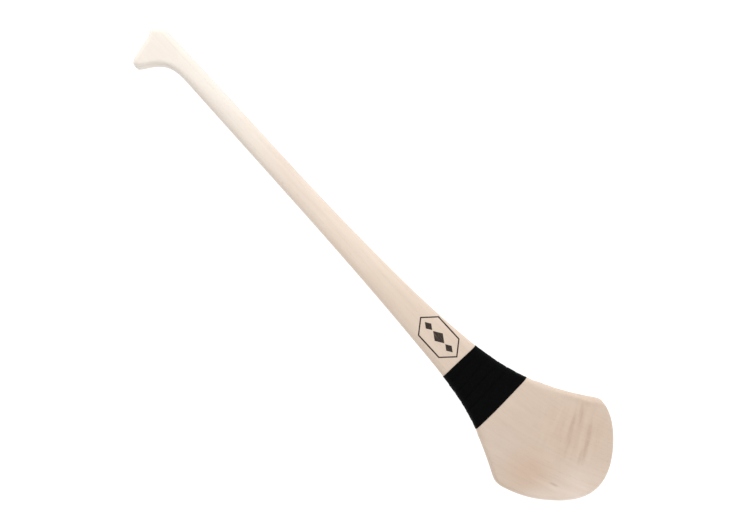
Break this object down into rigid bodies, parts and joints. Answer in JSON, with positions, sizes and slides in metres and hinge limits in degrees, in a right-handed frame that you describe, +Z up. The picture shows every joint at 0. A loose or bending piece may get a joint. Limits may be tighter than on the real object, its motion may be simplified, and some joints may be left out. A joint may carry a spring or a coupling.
{
  "type": "hurling stick",
  "caption": "Child's hurling stick: an ash plank with a hooked butt, oval handle, flaring neck and broad flat bas, bound at the neck with black cloth tape.",
  "frame": {"origin": "bottom centre of the stick's box as it lies on its back, at the level of the back of the bas", "axes": "+X along the stick from the butt to the sole, +Y across towards the toe of the bas, +Z up out of the front face"},
  "size_m": [0.63, 0.131, 0.0193],
  "materials": {
    "ash": "smooth sanded pale ash, unvarnished, straight grain that turns with the bas",
    "tape": "black cotton cloth tape, close plain weave, matt",
    "ink": "dark brown printed ink, matt"
  },
  "bodies": {
    "root": {"ash_body": "ash", "neck_tape": "tape"}
  },
  "joints": []
}
